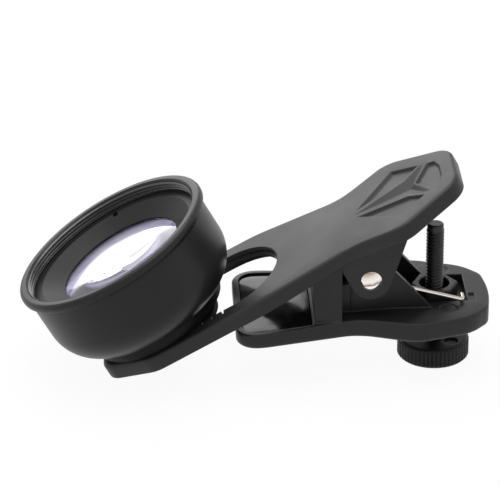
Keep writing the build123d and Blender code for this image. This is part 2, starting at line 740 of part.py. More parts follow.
lower_end = Vector(LOWER_LEG_X, DECK_Z + WIRE_RADIUS + SLIDING)
lower_span = lower_end - Vector(PIVOT_X, PIVOT_Z)
lower_turn = atan2(lower_span.Y, lower_span.X) - acos(COIL_RADIUS / lower_span.length)
upper_tip = arm_point(UPPER_LEG_U, -LEVER_SKIN - WIRE_RADIUS - SLIDING)
upper_span = Vector(upper_tip.X - PIVOT_X, upper_tip.Z - PIVOT_Z)
upper_turn = atan2(upper_span.Y, upper_span.X) + acos(COIL_RADIUS / upper_span.length)
coil_turns = COIL_TURNS + (lower_turn - upper_turn) / (2 * pi)


def coil_point(turn, y):
    """The point of the coil at an angle about the pin, y along it."""
    return pivot + Vector(COIL_RADIUS * cos(turn), y, COIL_RADIUS * sin(turn))


def wire(start, end):
    """A straight length of spring wire."""
    with BuildPart() as length:
        with BuildSketch(Plane(origin=start, z_dir=end - start)):
            Circle(WIRE_RADIUS)
        extrude(amount=(end - start).length)
    return length.part


with BuildPart() as coil:
    with BuildLine():
        turns = Helix(pitch=2 * COIL_HALF / coil_turns, height=2 * COIL_HALF, radius=COIL_RADIUS)
    with BuildSketch(Plane(origin=turns @ 0, z_dir=turns % 0)):
        Circle(WIRE_RADIUS)
    sweep(is_frenet=True)

with BuildPart() as torsion_spring:
    coil_start = coil_point(lower_turn, -COIL_HALF)
    coil_end = coil_point(upper_turn, COIL_HALF)
    coil_foot = pivot - Vector(0, COIL_HALF, 0)
    start_way = (cos(lower_turn), 0, sin(lower_turn))
    with Locations(Plane(origin=coil_foot, x_dir=start_way, z_dir=(0, 1, 0))):
        add(coil.part)
    leg_bend = Vector(lower_end.X, -COIL_HALF, lower_end.Y)
    leg_tip = leg_bend + Vector(0, LOWER_LEG_BEND, 0)
    upper_leg_tip = upper_tip + Vector(0, COIL_HALF, 0)
    with Locations(coil_start, coil_end, leg_bend):
        Sphere(WIRE_BEND_RADIUS)
    add(wire(coil_start, leg_bend))
    add(wire(leg_bend, leg_tip))
    add(wire(coil_end, upper_leg_tip))
save(torsion_spring.part, "torsion_spring")

# Screw, nut and knob

with BuildPart() as screw_nut:
    with BuildSketch(Plane.XY.offset(NUT_BOTTOM_Z)):
        RegularPolygon(NUT_ACROSS / 2, 6, major_radius=False)
        Circle(SCREW_RADIUS + RUNNING, mode=Mode.SUBTRACT)
    extrude(amount=NUT_HEIGHT)
save(screw_nut.part, "screw_nut")

with BuildPart() as screw_rod:
    with BuildSketch(Plane.XY.offset(SCREW_FOOT_Z)):
        Circle(SCREW_RADIUS)
    extrude(amount=SCREW_TIP_Z - NECK_LENGTH - SCREW_FOOT_Z)
    with BuildSketch(Plane.XY.offset(SCREW_TIP_Z - NECK_LENGTH)):
        Circle(NECK_RADIUS)
    extrude(amount=NECK_LENGTH)
    chamfer(screw_rod.edges().sort_by(Axis.Z)[-1], NECK_LENGTH / 4)
save(screw_rod.part, "screw_rod")

with BuildPart() as knob:
    with BuildSketch():
        Circle(KNOB_RADIUS)
    extrude(amount=KNOB_HEIGHT)
    chamfer(knob.faces().filter_by(Axis.Z).edges(), KNOB_EDGE)
    with BuildSketch():
        with PolarLocations(KNOB_RADIUS, KNOB_RIBS):
            RegularPolygon(KNOB_RIB_DEPTH, 4)
    extrude(amount=KNOB_HEIGHT, mode=Mode.SUBTRACT)
    with BuildSketch(Plane.XY.offset(KNOB_HEIGHT)):
        with Locations((DIMPLE_X, DIMPLE_Y)):
            Circle(DIMPLE_RADIUS)
    extrude(amount=-DIMPLE_DEPTH, mode=Mode.SUBTRACT)
    with BuildSketch(Plane.XY.offset(KNOB_HEIGHT)):
        Circle(SCREW_RADIUS + RUNNING)
    extrude(amount=SCREW_FOOT_Z - SLIDING - KNOB_HEIGHT, mode=Mode.SUBTRACT)
save(knob.part, "knob")

print("arm tilt", round(degrees(tilt), 3))
print("arm origin", arm_origin)
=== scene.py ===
import math
from functools import partial
import bmesh
import bpy
from mathutils import Matrix, Vector
from mathutils.geometry import delaunay_2d_cdt


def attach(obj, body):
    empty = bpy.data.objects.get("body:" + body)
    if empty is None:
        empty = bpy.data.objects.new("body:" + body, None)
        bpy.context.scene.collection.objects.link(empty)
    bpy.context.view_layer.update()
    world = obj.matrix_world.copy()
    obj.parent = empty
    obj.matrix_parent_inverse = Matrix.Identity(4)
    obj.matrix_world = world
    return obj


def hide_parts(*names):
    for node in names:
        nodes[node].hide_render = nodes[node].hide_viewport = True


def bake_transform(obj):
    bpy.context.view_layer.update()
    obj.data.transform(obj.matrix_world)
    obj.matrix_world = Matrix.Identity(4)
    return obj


# Lengths are in millimetres where they are written, and in metres once multiplied by MM.
MM = 0.001

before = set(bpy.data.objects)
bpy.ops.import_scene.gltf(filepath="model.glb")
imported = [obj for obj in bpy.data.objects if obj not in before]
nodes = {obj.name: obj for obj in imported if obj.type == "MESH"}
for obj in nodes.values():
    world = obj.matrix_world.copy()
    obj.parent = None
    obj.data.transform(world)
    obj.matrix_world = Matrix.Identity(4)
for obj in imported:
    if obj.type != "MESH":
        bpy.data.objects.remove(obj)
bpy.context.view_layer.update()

# The arm's frame: U runs along the arm and V out of its top face, from the foot of the lens's axis on that face.
TILT = math.radians(29.18)
ALONG = Vector((math.cos(TILT), 0, math.sin(TILT)))
NORMAL = Vector((-math.sin(TILT), 0, math.cos(TILT)))
ARM_ORIGIN = Vector((-53.2475, 0, 9.3169)) * MM
ARM_FRAME = Matrix((ALONG, Vector((0, 1, 0)), NORMAL)).transposed().to_4x4()
ARM_FRAME.translation = ARM_ORIGIN


# Node helpers

class Nodes:
    """Adds nodes and links to one node tree."""

    def __init__(self, tree):
        self.tree = tree
        self.tree.nodes.clear()

    def node(self, kind, **settings):
        made = self.tree.nodes.new(kind)
        for key, value in settings.items():
            setattr(made, key, value)
        return made

    def link(self, a, b):
        self.tree.links.new(a, b)

    def math(self, kind, a, b):
        made = self.node("ShaderNodeMath", operation=kind)
        for socket, value in zip(made.inputs, (a, b)):
            if isinstance(value, (int, float)):
                socket.default_value = value
            else:
                self.link(value, socket)
        return made.outputs[0]

    def seen(self):
        """1 for what the camera sees, straight, in gloss or through glass, and 0 for all other light."""
        path = self.node("ShaderNodeLightPath")
        straight = self.math("MAXIMUM", path.outputs["Is Camera Ray"], path.outputs["Is Glossy Ray"])
        return self.math("MAXIMUM", straight, path.outputs["Is Transmission Ray"])


class Shader(Nodes):
    """Builds one material's nodes; every value that is the same all over sits on a shader's own socket."""

    def __init__(self, name):
        self.material = bpy.data.materials.new(name)
        self.material.use_nodes = True
        super().__init__(self.material.node_tree)
        self.out = self.node("ShaderNodeOutputMaterial")
        self.coord = self.node("ShaderNodeTexCoord").outputs["Object"]

    def noise(self, size_mm, detail=2.0, rough=0.5):
        made = self.node("ShaderNodeTexNoise")
        made.inputs["Scale"].default_value = 1 / (size_mm * MM)
        made.inputs["Detail"].default_value = detail
        made.inputs["Roughness"].default_value = rough
        self.link(self.coord, made.inputs["Vector"])
        return made.outputs["Fac"]

    def ramp(self, value, stops):
        """Colours or plain values between stops of (position, colour or value)."""
        made = self.node("ShaderNodeValToRGB")
        items = made.color_ramp.elements
        while len(items) < len(stops):
            items.new(0.5)
        for item, (at, colour) in zip(items, stops):
            item.position = at
            item.color = (*colour, 1) if hasattr(colour, "__len__") else (colour, colour, colour, 1)
        self.link(value, made.inputs["Fac"])
        return made.outputs["Color"]

    def mix(self, factor, a):
        """Colour mix from A by a factor; B is left to the caller."""
        made = self.node("ShaderNodeMix", data_type="RGBA")
        self.link(factor, made.inputs["Factor"])
        self.link(a, made.inputs["A"])
        return made

    def mix_shader(self, factor, a, b):
        made = self.node("ShaderNodeMixShader")
        self.link(factor, made.inputs["Fac"])
        self.link(a.outputs[0], made.inputs[1])
        self.link(b.outputs[0], made.inputs[2])
        return made

    def dot(self, a, b):
        """Dot product of a vector with another, which may be fixed."""
        made = self.node("ShaderNodeVectorMath", operation="DOT_PRODUCT")
        self.link(a, made.inputs[0])
        if isinstance(b, Vector):
            made.inputs[1].default_value = b
        else:
            self.link(b, made.inputs[1])
        return made.outputs["Value"]

    def normal(self):
        return self.node("ShaderNodeNewGeometry").outputs["Normal"]

    def soft_normal(self, radius_mm):
        """The surface's normal with its edges rounded a little."""
        made = self.node("ShaderNodeBevel", samples=4)
        made.inputs["Radius"].default_value = radius_mm * MM
        return made.outputs["Normal"]

    def along(self, axis, low_mm, high_mm):
        """Runs from 0 to 1 between two distances from the arm's origin along an axis."""
        span = self.node("ShaderNodeMapRange")
        span.inputs["From Min"].default_value = axis.dot(ARM_ORIGIN) + low_mm * MM
        span.inputs["From Max"].default_value = axis.dot(ARM_ORIGIN) + high_mm * MM
        self.link(self.dot(self.coord, axis), span.inputs["Value"])
        return span.outputs["Result"]

    def wobble(self, size_mm, detail, amount):
        """Noise about zero, to bend a gradient."""
        return self.math("MULTIPLY", self.math("SUBTRACT", self.noise(size_mm, detail), 0.5), amount)

    def bump(self, height, depth_mm, normal=None):
        made = self.node("ShaderNodeBump")
        made.inputs["Strength"].default_value = 1.0
        made.inputs["Distance"].default_value = depth_mm * MM
        self.link(height, made.inputs["Height"])
        if normal is not None:
            self.link(normal, made.inputs["Normal"])
        return made.outputs["Normal"]

    def principled(self, **values):
        """The principled shader, with each socket named by its words joined by underscores."""
        made = self.node("ShaderNodeBsdfPrincipled")
        for key, value in values.items():
            made.inputs[key.replace("_", " ")].default_value = value
        return made

    def shades(self, colour, dark, pale, size_mm, detail):
        """A colour that drifts slowly between a darker and a paler shade, and the noise that it follows."""
        slow = self.noise(size_mm, detail)
        low, high = [tuple(c * k for c in colour) for k in (dark, pale)]
        return self.ramp(slow, [(0.3, low), (0.7, high)]), slow

    def finish(self, shader):
        self.link(shader.outputs[0], self.out.inputs["Surface"])
        return self.material


def moulded(name, colour, rough, specular, grain_mm=0.16, grain_depth=0.004, worn=0.5):
    """Moulded plastic: a fine grain, slow changes of sheen, and edges rubbed a little smoother and paler."""
    s = Shader(name)
    body = s.principled(IOR=1.5, Specular_IOR_Level=specular)
    tone, slow = s.shades(colour, 0.88, 1.14, 9.0, 3.0)
    edge = s.soft_normal(0.35)
    rub = s.ramp(s.dot(edge, s.normal()), [(0.80, worn), (0.985, 0.0)])
    mix = s.mix(rub, tone)
    mix.inputs["B"].default_value = (*[min(1, c * 2.1 + 0.01) for c in colour], 1)
    s.link(mix.outputs["Result"], body.inputs["Base Color"])
    sheen = s.ramp(slow, [(0.25, rough - 0.05), (0.75, rough + 0.05)])
    s.link(s.math("SUBTRACT", sheen, s.math("MULTIPLY", rub, 0.12)), body.inputs["Roughness"])
    s.link(s.bump(s.noise(grain_mm, 2.0, 0.6), grain_depth, edge), body.inputs["Normal"])
    return s.finish(body)


TURNING_MARK = 0.22


def anodised(name, colour, rough, specular):
    """Black anodised metal: an even satin with faint turning marks about the lens axis."""
    s = Shader(name)
    body = s.principled(IOR=1.5, Specular_IOR_Level=specular)
    tone, slow = s.shades(colour, 0.9, 1.12, 14.0, 2.0)
    s.link(tone, body.inputs["Base Color"])
    rings = s.node("ShaderNodeTexNoise", noise_dimensions="1D")
    rings.inputs["Scale"].default_value = 1.0
    s.link(s.dot(s.coord, NORMAL / (TURNING_MARK * MM)), rings.inputs["W"])
    marks = [s.math("MULTIPLY", part, 0.5) for part in (rings.outputs["Fac"], s.noise(0.1))]
    s.link(s.ramp(slow, [(0.25, rough - 0.04), (0.75, rough + 0.04)]), body.inputs["Roughness"])
    s.link(s.bump(s.math("ADD", *marks), 0.0025, s.soft_normal(0.15)), body.inputs["Normal"])
    return s.finish(body)


def plated_painted_reflection(name, rough, lean, stops):
    """Bright metal plating with a painted reflection: its colour follows the way the surface leans, painting the pale
    and dark bands that polished metal reflects in a studio.
    """
    s = Shader(name)
    body = s.principled(Metallic=1.0)
    facing = s.dot(s.normal(), Vector(lean).normalized())
    turned = s.math("ADD", s.math("MULTIPLY", facing, 0.5), 0.5)
    # Painted reflection: the colour stops paint the studio's pale and dark reflections by the normal's direction.
    s.link(s.ramp(s.math("ADD", turned, s.wobble(0.8, 2.0, 0.10)), stops), body.inputs["Base Color"])
    s.link(s.ramp(s.noise(0.5, 3.0), [(0.3, rough * 1.6), (0.7, rough)]), body.inputs["Roughness"])
    s.link(s.bump(s.noise(0.07), 0.0006), body.inputs["Normal"])
    return s.finish(body)


def coated_glass(name, tint, ior, rim):
    """Lens glass: clear seen straight on, and mirror-like with a coloured coating at a low angle."""
    s = Shader(name)
    body = s.principled(
        Roughness=0.0, IOR=ior, Transmission_Weight=1.0, Specular_IOR_Level=0.2, Base_Color=(0.97, 0.98, 1.0, 1)
    )
    layer = s.node("ShaderNodeLayerWeight")
    layer.inputs["Blend"].default_value = 0.5
    facing = layer.outputs["Facing"]
    coat = s.node("ShaderNodeBsdfGlossy")
    coat.inputs["Roughness"].default_value = 0.02
    s.link(s.ramp(facing, tint), coat.inputs["Color"])
    s.link(s.bump(s.noise(0.05, 1.0), 0.0002), body.inputs["Normal"])
    return s.finish(s.mix_shader(s.ramp(facing, rim), body, coat))


def spacer(name):
    """Spacer between the elements: satin metal with painted light, a glow of its own that stands in for the light that
    the edges of the glass throw onto it, and painted coloured bands of the coating's reflections on the side towards
    the handle.
    """
    s = Shader(name)
    body = s.principled(Metallic=1.0, Base_Color=(0.35, 0.33, 0.42, 1), Emission_Strength=1.0)
    # Painted light: the glow is brightest low in the barrel and fades towards the front glass.
    height = s.math("ADD", s.along(NORMAL, 8.4, 12.6), s.wobble(3.0, 2.0, 0.25))
    glow = s.ramp(height, [
        (0.05, (0.90, 0.90, 0.98)), (0.40, (0.42, 0.38, 0.60)), (0.75, (0.10, 0.09, 0.15)),
        (1.0, (0.02, 0.02, 0.03)),
    ])
    # Painted reflection: coloured bands of the lens coating, painted into the glow.
    painted_fringe = s.ramp(height, [
        (0.0, (0.80, 0.86, 1.0)), (0.16, (0.06, 0.10, 0.50)), (0.34, (0.16, 0.05, 0.14)), (0.52, (0.50, 0.34, 0.20)),
        (0.68, (0.30, 0.13, 0.15)), (0.9, (0.03, 0.02, 0.03)),
    ])
    mix = s.mix(s.ramp(s.along(ALONG, 6.0, 12.0), [(0.35, 0.0), (0.65, 1.0)]), glow)
    s.link(painted_fringe, mix.inputs["B"])
    s.link(mix.outputs["Result"], body.inputs["Emission Color"])
    s.link(s.ramp(s.noise(0.6), [(0.3, 0.28), (0.7, 0.4)]), body.inputs["Roughness"])
    return s.finish(body)


def soft_pad(name, colour, rough):
    """Soft glossy pad: smooth, with slow dents that bend its reflections and a little dust."""
    s = Shader(name)
    body = s.principled(IOR=1.5, Specular_IOR_Level=0.22)
    slow = s.noise(5.0)
    dust = s.ramp(s.noise(0.12, 2.0, 0.7), [(0.66, colour), (0.80, tuple(c + 0.03 for c in colour))])
    s.link(dust, body.inputs["Base Color"])
    s.link(s.ramp(slow, [(0.3, rough - 0.05), (0.7, rough + 0.06)]), body.inputs["Roughness"])
    s.link(s.bump(slow, 0.05), body.inputs["Normal"])
    return s.finish(body)


def dress(material, *names):
    """Gives CAD nodes a material in place of their own."""
    for name in names:
        data = nodes[name].data
        data.materials.clear()
        data.materials.append(material)


LEVER = moulded("lever_plastic_look", (0.016, 0.016, 0.016), 0.44, 0.30)
JAW = moulded("jaw_plastic_look", (0.013, 0.013, 0.013), 0.40, 0.28, 0.2, 0.003, 0.35)
COLLAR = moulded("collar_plastic_look", (0.008, 0.008, 0.0082), 0.40, 0.12, 0.2, 0.002, 0.2)
KNOB = moulded("knob_plastic_look", (0.009, 0.009, 0.009), 0.42, 0.25, 0.2, 0.002, 0.5)
SCREW = moulded("screw_steel_look", (0.010, 0.010, 0.010), 0.34, 0.40, 0.12, 0.001, 0.3)
BARREL = anodised("lens_metal_look", (0.011, 0.011, 0.0115), 0.34, 0.25)
RING = anodised("ring_metal_look", (0.014, 0.0135, 0.013), 0.42, 0.18)
# Painted reflection: the rivet's dome gets pale and dark brown bands by the way it leans, where the studio would
# reflect light and dark.
RIVET_PAINTED_REFLECTION = plated_painted_reflection("rivet_steel_painted_reflection_look", 0.06, (-0.25, 0.0, 1.0), [
    (0.20, (0.92, 0.90, 0.87)), (0.37, (0.95, 0.93, 0.90)), (0.42, (0.16, 0.12, 0.10)), (0.47, (0.60, 0.52, 0.46)),
    (0.56, (0.93, 0.90, 0.86)), (0.72, (0.74, 0.66, 0.60)), (0.86, (0.30, 0.24, 0.21)),
])
# Painted reflection: the spring wire is palest where it faces sideways and darker brown where it faces down or
# straight up.
SPRING_PAINTED_REFLECTION = plated_painted_reflection("spring_steel_painted_reflection_look", 0.10, (0.0, -0.2, 1.0), [
    (0.15, (0.20, 0.15, 0.12)), (0.36, (0.62, 0.54, 0.47)), (0.50, (0.95, 0.93, 0.90)), (0.72, (0.90, 0.87, 0.83)),
    (0.90, (0.45, 0.38, 0.33)),
])
SPACER_PAINTED_GLOW = spacer("spacer_painted_glow_look")
THREAD = anodised("thread_metal_look", (0.024, 0.024, 0.025), 0.26, 0.7)
PAD = soft_pad("pad_rubber_look", (0.010, 0.010, 0.010), 0.12)
FRONT_GLASS = coated_glass(
    "front_glass_look", [(0.30, (0.62, 0.60, 0.95)), (0.62, (0.97, 0.96, 1.0))], 1.62,
    [(0.30, 0.02), (0.62, 0.10), (0.85, 0.55)],
)
INNER_GLASS = coated_glass(
    "inner_glass_look",
    [(0.30, (0.80, 0.78, 1.0)), (0.50, (0.30, 0.16, 0.50)), (0.60, (0.10, 0.12, 0.60)), (0.68, (0.85, 0.60, 0.30)),
     (0.80, (0.50, 0.14, 0.22))], 1.52,
    [(0.35, 0.04), (0.55, 0.35), (0.75, 0.60)],
)

dress(LEVER, "upper_lever")
dress(JAW, "lower_lever")
dress(COLLAR, "slide_collar", "slide_washer")
dress(BARREL, "lens_barrel")
dress(RING, "front_retaining_ring", "rear_retaining_ring", "keeper_ring")
dress(SPACER_PAINTED_GLOW, "spacer_ring")
dress(RIVET_PAINTED_REFLECTION, "hinge_pin", "pin_cap")
dress(SPRING_PAINTED_REFLECTION, "torsion_spring")
dress(PAD, "jaw_pad", "arm_pad")
dress(SCREW, "screw_nut", "screw_rod")
dress(KNOB, "knob")
dress(FRONT_GLASS, "front_glass")
dress(INNER_GLASS, "middle_glass", "rear_glass")


# Mesh helpers

def new_object(name, verts, faces, material, sharp=None):
    """A mesh from points in millimetres, smooth up to an angle in degrees, or without one on its quads alone."""
    mesh = bpy.data.meshes.new(name)
    mesh.from_pydata([tuple(c * MM for c in v) for v in verts], [], faces)
    mesh.validate()
    for polygon in mesh.polygons:
        polygon.use_smooth = sharp is not None or len(polygon.vertices) == 4
    if sharp is not None:
        mesh.set_sharp_from_angle(angle=math.radians(sharp))
    made = bpy.data.objects.new(name, mesh)
    bpy.context.scene.collection.objects.link(made)
    mesh.materials.append(material)
    return made


def grid(rows, columns, closed=False):
    """Faces over rows of points, each joined to itself, and the last row to the first if the rows are closed."""
    faces = []
    for i in range(rows if closed else rows - 1):
        low, high = i * columns, (i + 1) % rows * columns
        for k in range(columns):
            m = (k + 1) % columns
            faces.append((low + k, low + m, high + m, high + k))
    return faces


def ends(rows, columns):
    """Faces that close the first and the last row of a grid."""
    last = (rows - 1) * columns
    return [tuple(reversed(range(columns))), tuple(range(last, last + columns))]


def on_circle(turn, radius, centre=(0.0, 0.0)):
    """The point of a circle at an angle in radians."""
    return centre[0] + radius * math.cos(turn), centre[1] + radius * math.sin(turn)


def arc(centre, radius, start, end, steps):
    """Points on a circle from one angle to another, in degrees."""
    return [on_circle(math.radians(start + (end - start) * k / steps), radius, centre) for k in range(steps + 1)]


def circle(radius, centre=(0.0, 0.0)):
    return [on_circle(2 * math.pi * k / 40, radius, centre) for k in range(40)]


def turned(profile, segments):
    """Rows of points round Z from a profile of (radius, height); a radius may depend on the share of a turn."""
    verts = []
    for radius, height in profile:
        for i in range(segments):
            share = i / segments
            r = radius(share) if callable(radius) else radius
            verts.append((*on_circle(2 * math.pi * share, r), height))
    return verts


def rounded(corners):
    """Points of a closed outline, counter-clockwise, whose corners (x, y, radius) are rounded."""
    out = []
    for i, (x, y, radius) in enumerate(corners):
        here = Vector((x, y))
        before = (Vector(corners[i - 1][:2]) - here).normalized()
        after = (Vector(corners[(i + 1) % len(corners)][:2]) - here).normalized()
        half = before.angle(after) / 2
        centre = here + (before + after).normalized() * (radius / math.sin(half))
        start = here + before * (radius / math.tan(half)) - centre
        end = here + after * (radius / math.tan(half)) - centre
        turn = math.pi - 2 * half
        side = 1 if start.x * end.y > start.y * end.x else -1
        steps = max(3, math.ceil(turn / math.radians(5)))
        for k in range(steps + 1):
            a = side * turn * k / steps
            out.append((centre.x + start.x * math.cos(a) - start.y * math.sin(a),
                        centre.y + start.x * math.sin(a) + start.y * math.cos(a)))
    return out


def inset(ring, gap):
    """The closed counter-clockwise outline moved inwards."""
    out = []
    for i, point in enumerate(ring):
        here = Vector(point)
        a = (here - Vector(ring[i - 1])).normalized()
        b = (Vector(ring[(i + 1) % len(ring)]) - here).normalized()
        normal_a, normal_b = Vector((-a.y, a.x)), Vector((-b.y, b.x))
        move = (normal_a + normal_b) / (1 + normal_a.dot(normal_b))
        out.append(tuple(here + move * gap))
    return out


def inside(point, ring):
    """Whether a point lies in a closed outline, by the edges that it sees along X."""
    crossings = 0
    for i, (x1, y1) in enumerate(ring):
        x0, y0 = ring[i - 1]
        if (y0 > point[1]) != (y1 > point[1]):
            crossings += point[0] < x0 + (point[1] - y0) * (x1 - x0) / (y1 - y0)
    return crossings % 2 == 1


class Body:
    """Collects the points and faces of one mesh."""

    def __init__(self):
        self.verts, self.faces = [], []

    def add(self, points):
        first = len(self.verts)
        self.verts += points
        return list(range(first, len(self.verts)))

    def ring(self, outline, height):
        """The points of an outline at one height, or at a height for each."""
        heights = height if isinstance(height, list) else [height] * len(outline)
        return self.add([(x, y, z) for (x, y), z in zip(outline, heights)])

    def strip(self, a, b):
        for i in range(len(a)):
            self.faces.append((a[i - 1], a[i], b[i], b[i - 1]))

    def tube(self, side_outline, start, end):
        """A prism across the part from an outline in the side view."""
        loops = [self.add([(x, across, z) for x, z in side_outline]) for across in (start, end)]
        self.strip(loops[0], loops[1])
        self.faces += [tuple(loops[0]), tuple(reversed(loops[1]))]

    def sink(self, outline, floor_outline, top, floor, up=True):
        """A recess in the top, or in the underside, with a closed floor; gives back the loop of its edge."""
        loops = [self.ring(outline, top), self.ring(floor_outline, floor)]
        self.strip(loops[0], loops[1])
        self.cover([loops[1]], up=up)
        return loops[0]

    def object(self, name, material, sharp):
        made = new_object(name, self.verts, self.faces, material, sharp)
        cleaner = bmesh.new()
        cleaner.from_mesh(made.data)
        bmesh.ops.recalc_face_normals(cleaner, faces=cleaner.faces)
        cleaner.to_mesh(made.data)
        cleaner.free()
        return made

    def cover(self, loops, lines=(), holes=(), up=True):
        """Triangles over loops and lines of points already made, which don't cross, but not over the holes."""
        used, edges = [], []
        for loop in loops:
            first = len(used)
            used += loop
            edges += [(first + k, first + (k + 1) % len(loop)) for k in range(len(loop))]
        for line in lines:
            first = len(used)
            used += line
            edges += [(first + k, first + k + 1) for k in range(len(line) - 1)]
        flat = [Vector(self.verts[i][:2]) for i in used]
        made, _, triangles, sources, _, _ = delaunay_2d_cdt(flat, edges, [], 1, 1e-5)
        for triangle in triangles:
            middle = sum((made[i] for i in triangle), Vector((0, 0))) / 3
            if any(inside(middle, hole) for hole in holes):
                continue
            corners = [used[sources[i][0]] for i in triangle]
            self.faces.append(tuple(corners) if up else tuple(reversed(corners)))


def mirrored(half):
    """A rounded outline, counter-clockwise, from the corners of its far half, tail last."""
    return rounded([(x, -y, radius) for x, y, radius in half] + [corner for corner in reversed(half) if corner[1] > 0])


# Barrel, in the arm's frame, with its rim rolled outward: foot, wall, rim, mouth and the seats inside

RIM_HEIGHT = 19.75
RIM_RADIUS = 20.2
RIM_ROUND = 0.85
STUB_RADIUS, STUB_FOOT = 8.4, -2.5
WALL_CENTRE, WALL_RADIUS, WALL_START = (11.249, 9.7), 7.971, -66.3
MOUTH_RADIUS, MOUTH_FLOOR = 18.25, 17.21
barrel_profile = [(7.15, STUB_FOOT), (STUB_RADIUS, STUB_FOOT), (STUB_RADIUS, 2.4)]
barrel_profile += arc(WALL_CENTRE, WALL_RADIUS, WALL_START, 0, 14)
barrel_profile += [(19.22, 17.42), (RIM_RADIUS - 0.05, 18.3), (RIM_RADIUS, 18.5)]
barrel_profile += arc((RIM_RADIUS - RIM_ROUND, RIM_HEIGHT - RIM_ROUND), RIM_ROUND, 0, 90, 8)
barrel_profile += [(18.62, RIM_HEIGHT), (18.3, 19.45), (MOUTH_RADIUS, 19.35), (MOUTH_RADIUS, MOUTH_FLOOR)]
barrel_profile += [(17.8, MOUTH_FLOOR), (17.8, 12.6), (13.55, 12.6), (13.55, 5.2), (11.5, 5.2), (11.5, 3.7)]
barrel_profile += [(6.3, 3.7), (6.3, 1.6), (7.15, 1.6)]
BARREL_SEGMENTS = 160
barrel = new_object(
    "barrel_body", turned(barrel_profile, BARREL_SEGMENTS), grid(len(barrel_profile), BARREL_SEGMENTS, True), BARREL,
    28,
)
barrel.data.transform(ARM_FRAME)
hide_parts("lens_barrel")
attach(barrel, "lens")


# Upper lever, in the arm's frame. Corners are (u, distance from the middle line, radius).

LEVER_HALF = [
    (-13.2, 7.8, 4.5), (-2.9, 14.35, 6.0), (22.0, 14.2, 30.0), (40.6, 11.15, 14.0), (51.4, 15.0, 6.5),
    (64.7, 7.5, 5.5),
]
LEVER_DEPTH = 3.3
LEVER_SKIN = 1.8
LEVER_WALL = 1.5
TOP_ROUND, FOOT_ROUND = 0.75, 0.45
WAIST_U, WAIST_DROP = 40.3, 0.45
WAIST_BEFORE, WAIST_BEHIND = 18.0, 9.5
plan = mirrored(LEVER_HALF)


def top_height(u):
    """The soft bevels let the edge fall a little towards the waist."""
    reach = WAIST_BEFORE if u < WAIST_U else WAIST_BEHIND
    return -WAIST_DROP * max(0.0, 1 - abs(u - WAIST_U) / reach)


lever = Body()
rings = []
for k in range(6):
    lean = math.radians(90 * k / 5)
    drawn = inset(plan, TOP_ROUND * (1 - math.sin(lean)))
    rings.append(lever.ring(drawn, [top_height(u) - TOP_ROUND * (1 - math.cos(lean)) for u, w in plan]))
for k in range(4):
    lean = math.radians(90 * k / 3)
    drawn = inset(plan, FOOT_ROUND * (1 - math.cos(lean)))
    rings.append(lever.ring(drawn, -LEVER_DEPTH + FOOT_ROUND * (1 - math.sin(lean))))
for upper, lower in zip(rings, rings[1:]):
    lever.strip(lower, upper)

# Slot: its mouth with the clicks of the lens's travel, the ledge that the hub rides in, and the rebate below
SLOT_END = 15.6
MOUTH_HALF, CLICK_DEPTH, LEDGE_HALF, REBATE_HALF = 10.4, 1.2, 9.9, 11.4
CLICK_START, CLICK_PITCH, CLICK_HALF = 5.0, 2.1, 0.25


def slot_ring(half, click=0.0):
    """Outline of the slot; its straight sides hold the corners of the clicks even where they have no depth."""
    side = []
    u = CLICK_START
    while u < SLOT_END - CLICK_HALF:
        side += [(u - CLICK_HALF, 0.0), (u - CLICK_HALF, click), (u + CLICK_HALF, click), (u + CLICK_HALF, 0.0)]
        u += CLICK_PITCH
    far_side = [(u, half + cut) for u, cut in reversed(side)]
    near_side = [(u, -half - cut) for u, cut in side]
    return arc((SLOT_END, 0), half, -90, 90, 30) + far_side + arc((0, 0), half, 90, 270, 30) + near_side


levels = [
    (MOUTH_HALF, CLICK_DEPTH, 0.0), (MOUTH_HALF, CLICK_DEPTH, -1.1), (LEDGE_HALF, 0.0, -1.1), (LEDGE_HALF, 0.0, -2.0),
    (REBATE_HALF, 0.0, -2.0), (REBATE_HALF, 0.0, -LEVER_DEPTH),
]
slot_rings = [lever.ring(slot_ring(half, click), v) for half, click, v in levels]
for upper, lower in zip(slot_rings, slot_rings[1:]):
    lever.strip(upper, lower)

# Grip: two kites and an end recess with sloping sides, a valley shaped like a Y between them, and the bevels' creases
GRIP_DEPTH, GRIP_SLOPE = 0.5, 0.42
KITE = [(43.6, -1.4), (54.3, -3.8), (57.6, -6.6), (52.0, -10.0)]
END_RECESS = [(56.3, 0.0), (59.4, -5.6), (61.0, -4.9), (61.8, -2.2), (61.8, 2.2), (61.0, 4.9), (59.4, 5.6)]
recess_loops = []
for outline in (KITE[::-1], [(u, -w) for u, w in KITE], END_RECESS):
    recess_loops += [lever.ring(outline, 0.0), lever.ring(inset(outline, GRIP_SLOPE), -GRIP_DEPTH)]
valley_rim = [
    (43.0, 0.0), (54.2, -3.0), (58.4, -6.5), (59.0, -6.1), (55.95, 0.0), (59.0, 6.1), (58.4, 6.5), (54.2, 3.0),
]
valley = lever.ring(valley_rim, 0.0)
valley_floor = lever.ring(
    [(44.5, 0.0), (50.0, 0.0), (54.9, 0.0), (57.4, -4.7), (57.4, 4.7)], [-0.16, -0.5, -0.75, -0.3, -0.3]
)
creases = [lever.ring([(22.5, 12.8 * side), (WAIST_U, 5.6 * side), (49.0, 12.6 * side)], 0.0) for side in (-1, 1)]
creases += [valley_floor[:3], [valley_floor[3], valley_floor[2], valley_floor[4]]]
lever.cover([rings[0], slot_rings[0], valley] + recess_loops, creases, [slot_ring(MOUTH_HALF, CLICK_DEPTH)])

